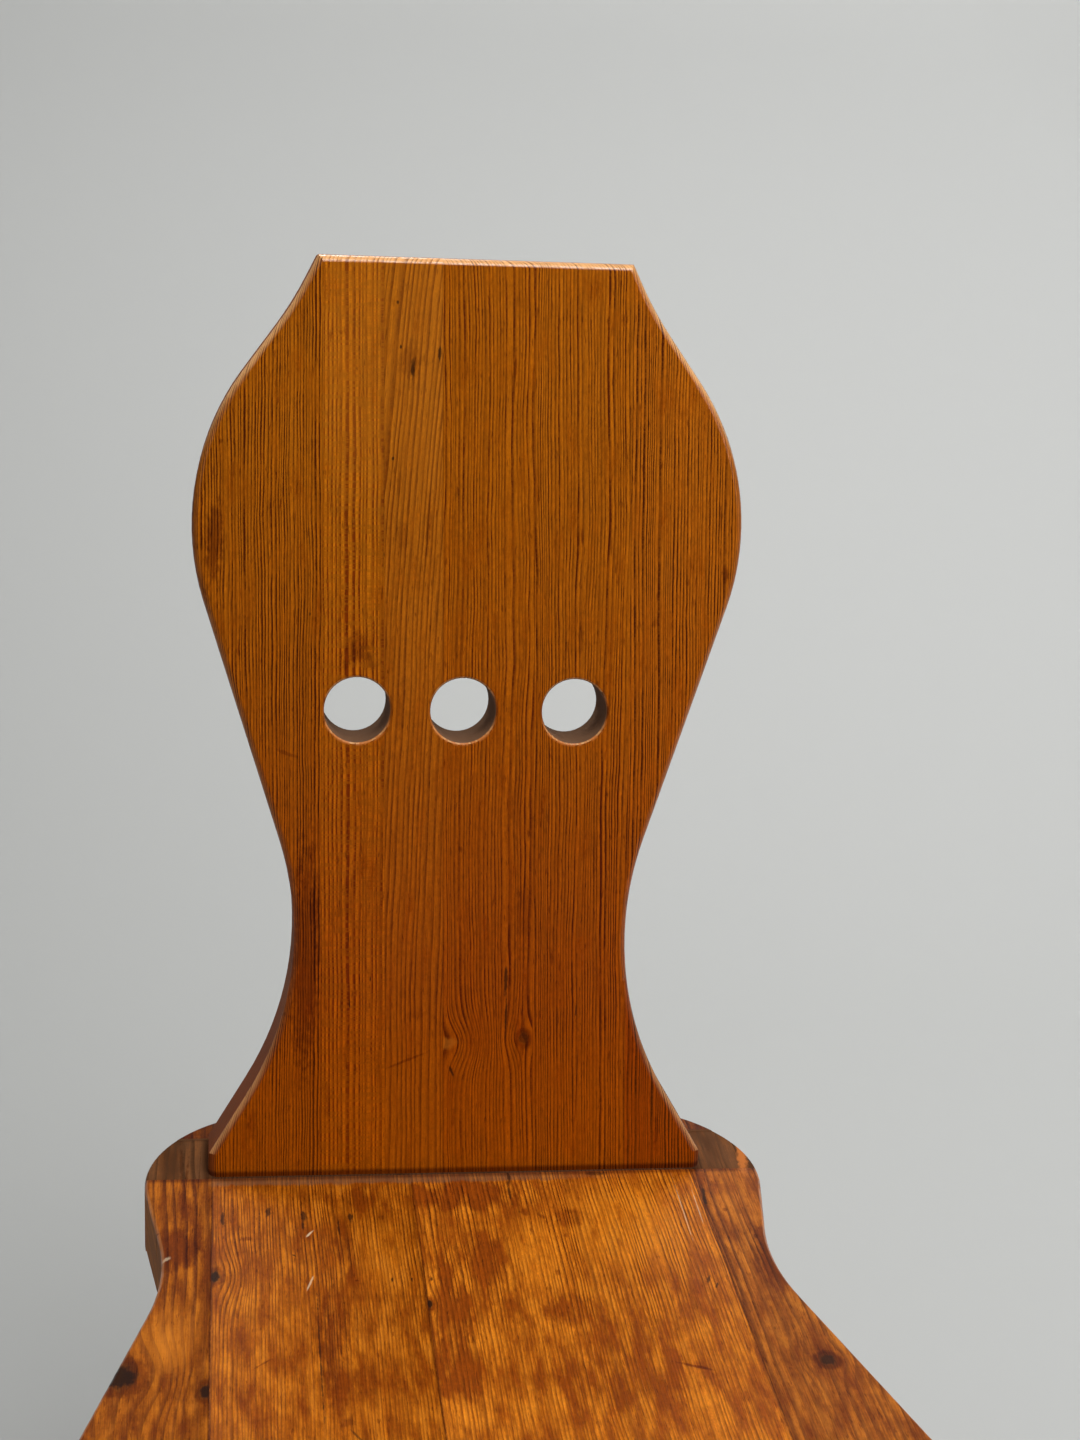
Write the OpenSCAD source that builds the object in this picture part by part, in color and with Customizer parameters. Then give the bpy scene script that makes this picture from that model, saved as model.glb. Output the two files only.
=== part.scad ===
// Plank chair in solid pine: a waisted, lightly scooped seat glued up from four
// boards, a leaning back glued up from six staves with three round holes, two
// battens slid into the underside of the seat, and four splayed legs.
// Millimetres, +Z up, the sitter faces -Y. The origin is on the floor, in the
// middle of the chair's length and width.

/* [Back] */
// Height of the back above the seat, along its own slope
back_h = 494; // [440:1:560]
// Thickness of the back
back_t = 37; // [32:0.5:42]
// Angle that the back leans from the upright
recline = 8.3; // [4:0.1:12]
// Width across the flat top
top_w = 164; // [120:1:190]
// Distance below the top where each shoulder is most hollow
shoulder_drop = 24; // [20:1:32]
// How far each shoulder is drawn in from a straight line
shoulder_hollow = 4.3; // [2:0.1:6]
// Radius of the hollow of each shoulder
shoulder_r = 180; // [80:5:200]
// Width where the shoulder line and the side line would cross
bulge_w = 320; // [290:1:340]
// Distance below the top where the shoulder line and the side line would cross
bulge_drop = 115; // [100:1:135]
// Radius of the bulge
bulge_r = 135; // [90:1:140]
// Width where the side line and the flare line would cross
waist_w = 150; // [120:1:180]
// Height where the side line and the flare line would cross
waist_h = 112; // [100:1:135]
// Radius of the waist
waist_r = 174; // [120:1:190]
// Width of the foot, where it stands on the seat
foot_w = 284; // [250:1:300]
// Radius of the rounded edges of the back
back_edge_r = 5.5; // [2:0.1:7]

/* [Holes in the back] */
// Diameter of each hole
hole_d = 35; // [25:0.5:40]
// Height of the row of holes above the seat
hole_h = 258; // [220:1:300]
// Place of the middle hole, to the right of the middle of the back
hole_mid = -2; // [-5:0.5:5]
// Distance from the middle hole to the left one
hole_step_left = 56.5; // [45:0.5:65]
// Distance from the middle hole to the right one
hole_step_right = 60; // [45:0.5:65]
// Width of the softened rim of each hole
hole_rim = 1; // [0.5:0.1:2]

/* [Staves of the back] */
// Places of the five glue joints at the seat, to the right of the middle
back_joints = [-74.6, -39, -7, 42.5, 94.5];
// Angles by which these joints lean to the left of the upright
joint_slants = [0.6, 1.1, 1.3, 1.4, 1.5];

/* [Tenons and keys of the back] */
// Width of each tenon
tenon_w = 40; // [30:1:42]
// Thickness of each tenon
tenon_t = 18; // [14:0.5:20]
// Distance between the middles of the two tenons
tenon_span = 96; // [80:1:97]
// Length of each tenon below the rear batten
tenon_reach = 42; // [36:1:60]
// Width of a key
key_w = 12; // [8:0.5:16]
// Length of a key
key_l = 96; // [80:1:120]
// Depth of a key at its thick end
key_deep = 24; // [20:0.5:28]
// Depth of a key at its thin end
key_thin = 15; // [10:0.5:18]

/* [Seat] */
// Height of the seat above the floor
seat_h = 445; // [400:1:480]
// Thickness of the seat
seat_t = 36; // [32:0.5:45]
// Distance from the front of the back to the rear edge of the seat
seat_rear = 72; // [66:1:90]
// Distance from the front of the back to the front edge of the seat
seat_front = 375; // [340:1:420]
// Width at the rear, where the edge lines would cross
ear_w = 368; // [340:1:390]
// Radius of the rear corners
ear_r = 78; // [50:1:85]
// Width at the waist of the seat, where the edge lines would cross
seat_waist_w = 309; // [290:1:330]
// Distance of the waist from the front of the back
seat_waist_y = 99; // [90:1:120]
// Radius of the waist of the seat
seat_waist_r = 150; // [100:1:170]
// Width at the widest place, where the edge lines would cross
seat_wide_w = 416; // [380:1:440]
// Distance of the widest place from the front of the back
seat_wide_y = 291; // [280:1:300]
// Radius at the widest place
seat_wide_r = 110; // [60:1:120]
// Width of the front edge, where the edge lines would cross
nose_w = 340; // [300:1:360]
// Radius of the front corners
nose_r = 45; // [25:1:50]
// Radius of the rounded edges of the seat
seat_edge_r = 3; // [1.5:0.1:5]

/* [Scoop of the seat] */
// Depth of the scoop
scoop_d = 7; // [3:0.5:10]
// Radius of the scoop, seen from above
scoop_r = 150; // [120:1:155]
// Distance of the middle of the scoop from the front of the back
scoop_y = 203; // [190:1:215]
// Share of the scoop's radius that its soft rim takes up
scoop_rim_share = 0.35; // [0.2:0.01:0.5]

/* [Boards of the seat] */
// Places of the three glue joints, to the right of the middle
seat_joints = [-133, -25.5, 131.5];
// Depth of the shallow housing that the back stands in
housing_d = 1.2; // [0.5:0.1:3]
// Width of the housing in front of the back
housing_front = 4; // [1:0.5:8]
// Width of the housing behind the back
housing_rear = 3.5; // [1:0.5:8]

/* [Battens] */
// Width of each batten
batten_w = 85; // [80:1:95]
// Thickness of each batten below the seat
batten_t = 27; // [22:0.5:34]
// Length of the front batten below the seat
front_batten_l = 328; // [310:1:350]
// Length of the rear batten below the seat
rear_batten_l = 290; // [280:1:300]
// Distance of the front batten from the front of the back
front_batten_y = 285; // [270:1:295]
// Distance of the middle of the rear batten behind the front of the back
rear_batten_y = 14; // [6:1:18]
// Height of the dovetail in the seat
dovetail_h = 10; // [7:0.5:13]
// Width of the dovetail at its neck
dovetail_w = 62; // [58:1:68]
// Angle of the sides of the dovetail
dovetail_angle = 14; // [8:1:18]
// Length of the sloped ends of a batten
batten_end = 12; // [6:1:16]

/* [Legs] */
// Width of a leg across its flats, at the batten
leg_top_w = 46; // [40:1:50]
// Width of a leg across its flats, at the floor
leg_foot_w = 31; // [26:1:38]
// Distance between the tops of the front legs
front_leg_span = 252; // [240:1:262]
// Distance between the tops of the rear legs
rear_leg_span = 216; // [208:1:222]
// Angle that the front legs lean outwards
front_splay_side = 8.5; // [4:0.5:11]
// Angle that the front legs lean forwards
front_splay_fore = 7; // [4:0.5:9]
// Angle that the rear legs lean outwards
rear_splay_side = 8.5; // [4:0.5:11]
// Angle that the rear legs lean backwards
rear_splay_fore = 10; // [5:0.5:11]
// Diameter of the round tenon of a leg
leg_tenon_d = 28; // [22:0.5:32]

/* [Wedges in the leg tenons] */
// Thickness of a wedge at its thick end
wedge_t = 4; // [3:0.5:6]
// Thickness of a wedge at its thin end
wedge_tip = 1; // [0.8:0.1:1.5]
// Length of a wedge
wedge_l = 26; // [18:1:30]

/* [Fits] */
// Gap left all round a tenon, key, wedge or dovetail
fit = 0.2; // [0.1:0.05:0.4]

/* [Hidden] */
$fn = 96;
// Steps in a full circle for the large arcs of the outlines
outline_steps = 480;

// Larger than any piece, for cutting tools that run right through
far = 1200;
// How far a cutting tool runs past the face that it opens
past = 2;
// Least step between two curved cuts that would otherwise only just touch
lap = 0.01;

// The back leans, so its upper rear edge reaches furthest to the rear
back_reach = (back_h - back_edge_r) * sin(recline) + (back_t - back_edge_r) * cos(recline) + back_edge_r;
// Moves the middle of the chair's length to the origin
mid_y = (seat_front - back_reach) / 2;

seat_under = seat_h - seat_t;
batten_under = seat_under - batten_t;
housing_z = seat_h - housing_d;
foot_depth = back_t / cos(recline);

// Right half of the back's outline, from the top down. Where the list of radii
// holds 0 the corner is sharp, and a radius below 0 is hollow.
back_foot_drop = 12;
flare_slope = (foot_w - waist_w) / 2 / waist_h;
shoulder_slope = (bulge_w - top_w) / 2 / bulge_drop;
back_points = [
    [top_w / 2, back_h],
    [top_w / 2 + shoulder_drop * shoulder_slope - shoulder_hollow, back_h - shoulder_drop],
    [bulge_w / 2, back_h - bulge_drop],
    [waist_w / 2, waist_h],
    [foot_w / 2 + back_foot_drop * flare_slope, -back_foot_drop]
];
back_radii = [0, -shoulder_r, bulge_r, -waist_r, 0];
// Place of the waist in these lists
waist_place = 3;

// Right half of the seat's outline, from the rear edge to the front edge
seat_points = [
    [ear_w / 2, seat_rear],
    [seat_waist_w / 2, -seat_waist_y],
    [seat_wide_w / 2, -seat_wide_y],
    [nose_w / 2, -seat_front]
];
seat_radii = [ear_r, -seat_waist_r, seat_wide_r, nose_r];

// The whole outline, clockwise, from its right half
function both_sides(p) = concat(p, [for (i = [len(p) - 1:-1:0]) [-p[i][0], p[i][1]]]);
function both_radii(r) = concat(r, [for (i = [len(r) - 1:-1:0]) r[i]]);
function next(p, i) = p[(i + 1) % len(p)];
function prev(p, i) = p[(i + len(p) - 1) % len(p)];
function unit(v) = v / norm(v);
function to_prev(p, i) = unit(prev(p, i) - p[i]);
function to_next(p, i) = unit(next(p, i) - p[i]);
function turn(p, i) = acos(to_prev(p, i) * to_next(p, i));
function reach(p, r, i) = abs(r[i]) / tan(turn(p, i) / 2);
function arc_start(p, r, i) = p[i] + to_prev(p, i) * reach(p, r, i);
function arc_end(p, r, i) = p[i] + to_next(p, i) * reach(p, r, i);
function arc_mid(p, r, i) = p[i]
    + unit(to_prev(p, i) + to_next(p, i)) * abs(r[i]) / sin(turn(p, i) / 2);
function bearing(v) = atan2(v[1], v[0]);

// What lies outside a rounded corner
module corner_waste(p, r, i) {
    mid = arc_mid(p, r, i);
    grow = (norm(p[i] - mid) + past) / r[i];
    difference() {
        polygon([
            mid,
            mid + (arc_start(p, r, i) - mid) * grow,
            mid + (p[i] - mid) * grow,
            mid + (arc_end(p, r, i) - mid) * grow
        ]);
        translate(mid) circle(r[i] + lap, $fn = outline_steps);
    }
}

// A flat shape whose corners are rounded with true arcs
module shape(p, r) {
    difference() {
        polygon([
            for (i = [0:len(p) - 1])
                if (r[i] >= 0) p[i]
                else each [arc_start(p, r, i), arc_end(p, r, i)]
        ]);
        for (i = [0:len(p) - 1])
            if (r[i] > 0)
                corner_waste(p, r, i);
            else if (r[i] < 0)
                translate(arc_mid(p, r, i)) circle(lap - r[i], $fn = outline_steps);
    }
}

// Section of what a rounding cutter takes off both edges of a board that is
// t thick. X points out of the board. The cutter stands a little proud, so it
// leaves a faint arris where its curve meets each face.
module edge_section(t, edge) {
    proud = edge * 0.04;
    for (face = [0, 1])
        translate([proud - edge, face * t])
            mirror([0, face])
                difference() {
                    translate([0, -past]) square([edge + past, edge + past - proud]);
                    translate([0, edge - proud]) circle(edge);
                }
}

// The rounding cutter, led along the straight runs of an outline and a little
// way past their ends
module straight_edges(p, r, t, edge) {
    for (i = [0:len(p) - 1]) {
        start = arc_end(p, r, i);
        end = arc_start(p, r, (i + 1) % len(p));
        translate(start)
            rotate(bearing(end - start))
                rotate([90, 0, 90])
                    translate([0, 0, -2 * lap])
                        linear_extrude(norm(end - start) + 4 * lap)
                            edge_section(t, edge);
    }
}

// The rounding cutter, turned along the arcs of an outline, a hair less deep
module curved_edges(p, r, t, edge) {
    for (i = [0:len(p) - 1])
        if (r[i] != 0) {
            mid = arc_mid(p, r, i);
            first = bearing(arc_start(p, r, i) - mid);
            sweep = 180 - turn(p, i);
            translate(mid)
                rotate(r[i] > 0 ? first - sweep : first)
                    rotate_extrude(angle = sweep, $fn = outline_steps)
                        translate([abs(r[i] + 3 * lap), 0])
                            mirror([r[i] > 0 ? 0 : 1, 0])
                                edge_section(t, edge);
        }
}

// A flat board with rounded edges, lying on the XY plane
module shaped_board(half, half_radii, t, edge) {
    p = both_sides(half);
    r = both_radii(half_radii);
    difference() {
        difference() {
            linear_extrude(t) shape(p, r);
            straight_edges(p, r, t, edge);
        }
        curved_edges(p, r, t, edge);
    }
}

// Stands what is drawn flat, with Y up the back, in the back's place. The front
// of the back meets the top of the seat on the line y = 0.
module in_back() {
    translate([0, 0, seat_h])
        rotate([-recline, 0, 0])
            translate([0, back_t, 0])
                rotate([90, 0, 0])
                    children();
}

// Each tenon starts well inside the back, and grow widens it into its mortise
module tenons(grow) {
    below = seat_t + batten_t + tenon_reach;
    for (side = [-1, 1])
        translate([
            side * tenon_span / 2 - tenon_w / 2 - grow,
            -below,
            (back_t - tenon_t) / 2 - grow
        ])
            cube([tenon_w + 2 * grow, below + seat_t, tenon_t + 2 * grow]);
}

module holes() {
    for (x = [hole_mid - hole_step_left, hole_mid, hole_mid + hole_step_right])
        translate([x, hole_h, 0]) {
            translate([0, 0, -past]) cylinder(d = hole_d, h = back_t + 2 * past);
            for (face = [0, 1])
                translate([0, 0, face * back_t])
                    mirror([0, 0, face])
                        translate([0, 0, -past])
                            cylinder(
                                r1 = hole_d / 2 + hole_rim + past,
                                r2 = hole_d / 2,
                                h = hole_rim + past
                            );
        }
}

// The keys lie under the rear batten and lock the tenons. Each is thick at its
// rear end, flat on top and sloped below.
module key_solid(grow) {
    top = batten_under;
    translate([-key_w / 2 - grow, foot_depth / 2 - key_l / 2 - sin(recline) * (seat_h - top), 0])
        rotate([90, 0, 90])
            linear_extrude(key_w + 2 * grow)
                polygon([
                    [0, top - key_thin - grow],
                    [key_l, top - key_deep - grow],
                    [key_l, top + grow],
                    [0, top + grow]
                ]);
}

module back_solid() {
    difference() {
        union() {
            intersection() {
                in_back() shaped_board(back_points, back_radii, back_t, back_edge_r);
                translate([-far / 2, -far / 2, housing_z]) cube(far);
            }
            in_back() tenons(0);
        }
        in_back() holes();
        for (side = [-1, 1])
            translate([side * tenon_span / 2, 0, 0]) key_solid(fit);
    }
}

// All that lies to the right of joint n of the back. Joint 0 is far to the left.
module right_of_joint(n) {
    in_back()
        translate([n == 0 ? -far / 2 : back_joints[n - 1], 0, -past])
            rotate(n == 0 ? 0 : joint_slants[n - 1])
                translate([0, -far / 2, 0])
                    cube([far, far, back_t + 2 * past]);
}

// Stave n of the back, counted from the left
module back_stave(n) {
    difference() {
        intersection() {
            back_solid();
            right_of_joint(n - 1);
        }
        if (n <= len(back_joints)) right_of_joint(n);
    }
}

// The waist cuts right through the last stave, so it is two pieces of wood, one
// above the narrowest height of the back and one below
module last_stave(above) {
    waist = arc_mid(both_sides(back_points), both_radii(back_radii), waist_place)[1];
    intersection() {
        back_stave(len(back_joints) + 1);
        in_back()
            translate([-far / 2, above ? waist : waist - far, -past])
                cube([far, far, back_t + 2 * past]);
    }
}

// A shallow bowl with a soft rim, turned from two arcs that meet on one slope
module scoop() {
    rim_r = scoop_r * scoop_rim_share;
    bowl_r = scoop_r - rim_r;
    slope = 2 * atan(scoop_d / scoop_r);
    bowl_arc = bowl_r / sin(slope);
    rim_arc = rim_r / sin(slope);
    translate([0, -scoop_y, seat_h])
        rotate_extrude() {
            intersection() {
                translate([0, bowl_arc - scoop_d]) circle(bowl_arc);
                translate([0, -scoop_d - past]) square([bowl_r, scoop_d + 2 * past]);
            }
            difference() {
                translate([bowl_r, -scoop_d - past]) square([rim_r, scoop_d + 2 * past]);
                translate([scoop_r, -rim_arc]) circle(rim_arc);
            }
        }
}

module dovetail_section(grow) {
    neck = dovetail_w / 2 + grow;
    top = neck + (dovetail_h + grow) * tan(dovetail_angle);
    polygon([
        [-neck, seat_under - past],
        [neck, seat_under - past],
        [neck, seat_under],
        [top, seat_under + dovetail_h + grow],
        [-top, seat_under + dovetail_h + grow],
        [-neck, seat_under]
    ]);
}

module dovetail(y, grow) {
    translate([-far / 2, y, 0])
        rotate([90, 0, 90])
            linear_extrude(far)
                dovetail_section(grow);
}

module housing() {
    translate([-far / 2, -housing_front, housing_z])
        cube([far, housing_front + foot_depth + housing_rear, housing_d + past]);
}

module seat_solid() {
    difference() {
        translate([0, 0, seat_under])
            shaped_board(seat_points, seat_radii, seat_t, seat_edge_r);
        scoop();
        housing();
        in_back() tenons(fit);
        dovetail(-front_batten_y, fit);
        dovetail(rear_batten_y, fit);
    }
}

// Board n of the seat, counted from the left
module seat_board(n) {
    left = n == 1 ? -far / 2 : seat_joints[n - 2];
    right = n == len(seat_joints) + 1 ? far / 2 : seat_joints[n - 1];
    translate([0, mid_y, 0])
        intersection() {
            seat_solid();
            translate([left, -far / 2, 0]) cube([right - left, far, far]);
        }
}

// Stands a leg's own axis in place. The leg's top is at the origin, its foot
// points down, and side is -1 on the left and 1 on the right.
module in_leg(x, y, splay_side, splay_fore, side) {
    mirror([side < 0 ? 1 : 0, 0, 0])
        translate([x, y, batten_under])
            rotate([splay_fore, 0, 0])
                rotate([0, -splay_side, 0])
                    children();
}

module batten(y, l) {
    lower = [
        [-l / 2 + batten_end, batten_under],
        [l / 2 - batten_end, batten_under],
        [l / 2, seat_under],
        [-l / 2, seat_under]
    ];
    translate([0, y + batten_w / 2, 0])
        rotate([90, 0, 0])
            linear_extrude(batten_w)
                polygon(lower);
    intersection() {
        dovetail(y, 0);
        translate([0, 0, seat_under])
            linear_extrude(seat_t)
                shape(both_sides(seat_points), both_radii(seat_radii));
    }
}

module leg_bore(grow) {
    cylinder(d = leg_tenon_d + 2 * grow, h = 2 * (batten_t + dovetail_h), center = true);
}

module front_batten() {
    color("peru")
        translate([0, mid_y, 0])
            difference() {
                batten(-front_batten_y, front_batten_l);
                for (side = [-1, 1])
                    in_leg(
                        front_leg_span / 2, -front_batten_y,
                        front_splay_side, -front_splay_fore, side
                    )
                        leg_bore(fit);
            }
}

module rear_batten() {
    color("peru")
        translate([0, mid_y, 0])
            difference() {
                batten(rear_batten_y, rear_batten_l);
                in_back() tenons(fit);
                for (side = [-1, 1])
                    in_leg(
                        rear_leg_span / 2, rear_batten_y,
                        rear_splay_side, rear_splay_fore, side
                    )
                        leg_bore(fit);
            }
}

// Eight-sided tapered leg with its round tenon, sawn off level with the floor,
// the batten and the top of the dovetail
module leg(x, y, splay_side, splay_fore, side) {
    l = batten_under * 1.1;
    top_w = leg_top_w / 2;
    foot_w = leg_foot_w / 2;
    color("peru")
        translate([0, mid_y, 0])
            difference() {
                union() {
                    intersection() {
                        in_leg(x, y, splay_side, splay_fore, side)
                            intersection_for (a = [0, 45, 90, 135])
                                rotate(a)
                                    rotate([90, 0, 0])
                                        translate([0, 0, -leg_top_w])
                                            linear_extrude(2 * leg_top_w)
                                                polygon([
                                                    [-top_w, leg_top_w], [-foot_w, -l],
                                                    [foot_w, -l], [top_w, leg_top_w]
                                                ]);
                        translate([-far / 2, -far / 2, 0]) cube([far, far, batten_under]);
                    }
                    intersection() {
                        in_leg(x, y, splay_side, splay_fore, side) leg_bore(0);
                        translate([-far / 2, -far / 2, batten_under - past])
                            cube([far, far, past + batten_t + dovetail_h]);
                    }
                }
                leg_wedge(x, y, splay_side, splay_fore, side, fit);
            }
}

// Wedge that spreads the top of a leg's tenon in the batten
module leg_wedge(x, y, splay_side, splay_fore, side, grow) {
    top = batten_t + dovetail_h;
    thick = wedge_t / 2 + grow;
    tip = wedge_tip / 2 + grow;
    intersection() {
        in_leg(x, y, splay_side, splay_fore, side)
            intersection() {
                rotate([90, 0, 0])
                    translate([0, 0, -leg_tenon_d])
                        linear_extrude(2 * leg_tenon_d)
                            polygon([
                                [-tip, top - wedge_l - grow], [tip, top - wedge_l - grow],
                                [thick, top], [thick, top + past], [-thick, top + past], [-thick, top]
                            ]);
                leg_bore(grow);
            }
        translate([-far / 2, -far / 2, 0]) cube([far, far, batten_under + top + grow]);
    }
}

module leg_front(side) {
    leg(front_leg_span / 2, -front_batten_y, front_splay_side, -front_splay_fore, side);
}

module leg_rear(side) {
    leg(rear_leg_span / 2, rear_batten_y, rear_splay_side, rear_splay_fore, side);
}

module wedge_front(side) {
    color("burlywood")
        translate([0, mid_y, 0])
            leg_wedge(front_leg_span / 2, -front_batten_y, front_splay_side, -front_splay_fore, side, 0);
}

module wedge_rear(side) {
    color("burlywood")
        translate([0, mid_y, 0])
            leg_wedge(rear_leg_span / 2, rear_batten_y, rear_splay_side, rear_splay_fore, side, 0);
}

module back_key(side) {
    color("burlywood")
        translate([side * tenon_span / 2, mid_y, 0])
            key_solid(0);
}

module stave(n) {
    color(n % 2 == 0 ? "darkgoldenrod" : "chocolate")
        translate([0, mid_y, 0])
            back_stave(n);
}

module stave_6(above) {
    color(above ? "darkgoldenrod" : "goldenrod")
        translate([0, mid_y, 0])
            last_stave(above);
}

module board(n) {
    color(n % 2 == 0 ? "chocolate" : "sienna") seat_board(n);
}

board(1);  // seat_board_1
board(2);  // seat_board_2
board(3);  // seat_board_3
board(4);  // seat_board_4
stave(1);  // back_stave_1
stave(2);  // back_stave_2
stave(3);  // back_stave_3
stave(4);  // back_stave_4
stave(5);  // back_stave_5
stave_6(true);  // back_stave_6_upper
stave_6(false);  // back_stave_6_lower
front_batten();
rear_batten();
leg_front(-1);  // leg_front_left
leg_front(1);  // leg_front_right
leg_rear(-1);  // leg_rear_left
leg_rear(1);  // leg_rear_right
wedge_front(-1);  // wedge_front_left
wedge_front(1);  // wedge_front_right
wedge_rear(-1);  // wedge_rear_left
wedge_rear(1);  // wedge_rear_right
back_key(-1);  // back_key_left
back_key(1);  // back_key_right
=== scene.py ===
import math

import bmesh
import bpy
from mathutils import Euler, Matrix, Vector


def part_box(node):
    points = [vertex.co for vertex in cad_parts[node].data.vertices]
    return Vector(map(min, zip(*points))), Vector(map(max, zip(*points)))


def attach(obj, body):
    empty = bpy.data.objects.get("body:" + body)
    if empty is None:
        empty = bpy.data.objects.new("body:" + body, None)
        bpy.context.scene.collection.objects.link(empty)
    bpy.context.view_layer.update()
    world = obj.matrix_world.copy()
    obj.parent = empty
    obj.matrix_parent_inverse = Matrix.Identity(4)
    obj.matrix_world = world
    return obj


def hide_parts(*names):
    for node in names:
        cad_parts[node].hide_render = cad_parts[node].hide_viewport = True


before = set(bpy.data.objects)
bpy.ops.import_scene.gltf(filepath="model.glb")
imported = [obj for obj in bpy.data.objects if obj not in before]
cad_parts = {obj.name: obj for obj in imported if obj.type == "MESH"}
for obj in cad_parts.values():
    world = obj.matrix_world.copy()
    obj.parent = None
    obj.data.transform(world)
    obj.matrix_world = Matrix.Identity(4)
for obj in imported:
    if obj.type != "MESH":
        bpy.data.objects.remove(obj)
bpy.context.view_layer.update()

# Camera
# It stands in front of the chair, a little to the left of its middle and higher than
# the top of the back, and looks down on the back and the rear half of the seat.
eye = Vector((-0.1267, -0.9626, 1.0724))
turned_right = math.radians(7.926)
tipped_down = math.radians(18.235)
rolled = math.radians(2.85)
film_width = 36
focal_length = 56.25
frame_shift = 0.0108

ahead = Vector((
    math.sin(turned_right) * math.cos(tipped_down),
    math.cos(turned_right) * math.cos(tipped_down),
    -math.sin(tipped_down),
))
level_right = Vector((math.cos(turned_right), -math.sin(turned_right), 0))
level_up = level_right.cross(ahead)
right = math.cos(rolled) * level_right + math.sin(rolled) * level_up
up = math.cos(rolled) * level_up - math.sin(rolled) * level_right

camera = bpy.data.objects.new("camera", bpy.data.cameras.new("camera"))
camera.data.sensor_width = film_width
camera.data.lens = focal_length
camera.data.shift_x = frame_shift
camera.matrix_world = Matrix.Translation(eye) @ Matrix((right, up, -ahead)).transposed().to_4x4()
bpy.context.scene.collection.objects.link(camera)
bpy.context.scene.camera = camera
bpy.context.scene.view_settings.view_transform = "Standard"


# Floor and backdrop
# One pale sheet: it lies under the chair, curves up behind it and stands as a wall. Its
# grey grows paler upwards, to the right and to the rear: painted light and shade.
floor_half_width = 6.0
floor_front = -3.0
cove_start = 1.2
cove_radius = 1.0
cove_steps = 24
wall_top = 5.0
painted_light_towards = (0.2, 0.1, 0.2)
painted_light_from, painted_light_full_at = -0.03, 0.6
glow_centre = (0, 0.8, 0.5)
glow_starts, glow_full = 1.9, 4.2
glow_strength = 0.5


def paint(red, green, blue):
    """An sRGB colour, 0 to 255, as the linear colour that a socket takes."""
    parts = [c / 255 for c in (red, green, blue)]
    return (*[p / 12.92 if p < 0.04045 else ((p + 0.055) / 1.055) ** 2.4 for p in parts], 1.0)


def put(tree, kind, inputs=None, **settings):
    """Adds a node, sets it, and fills or links its inputs."""
    node = tree.nodes.new("ShaderNode" + kind)
    for name, value in settings.items():
        setattr(node, name, value)
    for key, value in (inputs or {}).items():
        if isinstance(value, bpy.types.NodeSocket):
            tree.links.new(value, node.inputs[key])
        else:
            node.inputs[key].default_value = value
    return node


sheet = bmesh.new()
front_edge = sheet.edges.new([
    sheet.verts.new((side * floor_half_width, floor_front, 0)) for side in (-1, 1)
])
lying = bmesh.ops.extrude_edge_only(sheet, edges=[front_edge])["geom"]
bmesh.ops.translate(
    sheet, vec=(0, cove_start - floor_front, 0),
    verts=[part for part in lying if isinstance(part, bmesh.types.BMVert)],
)
spun = bmesh.ops.spin(
    sheet, geom=[part for part in lying if isinstance(part, bmesh.types.BMEdge)],
    cent=(0, cove_start, cove_radius), axis=(1, 0, 0), angle=math.pi / 2, steps=cove_steps,
)["geom_last"]
rising = bmesh.ops.extrude_edge_only(
    sheet, edges=[part for part in spun if isinstance(part, bmesh.types.BMEdge)]
)["geom"]
bmesh.ops.translate(
    sheet, vec=(0, 0, wall_top - cove_radius),
    verts=[part for part in rising if isinstance(part, bmesh.types.BMVert)],
)
bmesh.ops.recalc_face_normals(sheet, faces=sheet.faces)
for face in sheet.faces:
    face.smooth = True
backdrop_mesh = bpy.data.meshes.new("backdrop")
sheet.to_mesh(backdrop_mesh)
sheet.free()
backdrop = bpy.data.objects.new("backdrop", backdrop_mesh)
bpy.context.scene.collection.objects.link(backdrop)

pale_grey = bpy.data.materials.new("pale_grey")
pale_grey.use_nodes = True
grey_tree = pale_grey.node_tree
spot = put(grey_tree, "TexCoord").outputs["Object"]
# Painted light and shade: the grey is darker low down and on the left, and paler upwards, to the right and to
# the rear.
tone = put(grey_tree, "VectorMath", {0: spot, 1: painted_light_towards}, operation="DOT_PRODUCT").outputs["Value"]
tone_range = {"Value": tone, "From Min": painted_light_from, "From Max": painted_light_full_at}
painted_light_share = put(grey_tree, "MapRange", tone_range).outputs[0]
greys = {0: painted_light_share, 6: paint(172, 173, 171), 7: paint(233, 234, 232)}
grey = put(grey_tree, "Mix", greys, data_type="RGBA").outputs[2]
# Far from the chair, where the lamps no longer reach, it shows the same plain grey.
far = put(grey_tree, "VectorMath", {0: spot, 1: glow_centre}, operation="DISTANCE").outputs["Value"]
glow_range = {"Value": far, "From Min": glow_starts, "From Max": glow_full, "To Max": glow_strength}
glow = put(grey_tree, "MapRange", glow_range, interpolation_type="SMOOTHSTEP").outputs[0]
to_camera = put(grey_tree, "LightPath").outputs["Is Camera Ray"]
shown = put(grey_tree, "Math", {0: glow, 1: to_camera}, operation="MULTIPLY").outputs[0]
grey_shader = grey_tree.nodes["Principled BSDF"]
grey_tree.links.new(grey, grey_shader.inputs["Base Color"])
grey_tree.links.new(shown, grey_shader.inputs["Emission Strength"])
grey_shader.inputs["Emission Color"].default_value = (1, 1, 1, 1)
grey_shader.inputs["Roughness"].default_value = 0.9
grey_shader.inputs["Specular IOR Level"].default_value = 0.1
backdrop_mesh.materials.append(pale_grey)


# Light
# A soft lamp overhead and a little in front, a second on the right, a weak one on the
# left, one behind for the rear views, and a dim even sky.
chair_middle = Vector((0, 0, 0.5))
sky_light = 0.12
sky_seen = 0.6
sky_mirrored = 0.03


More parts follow.
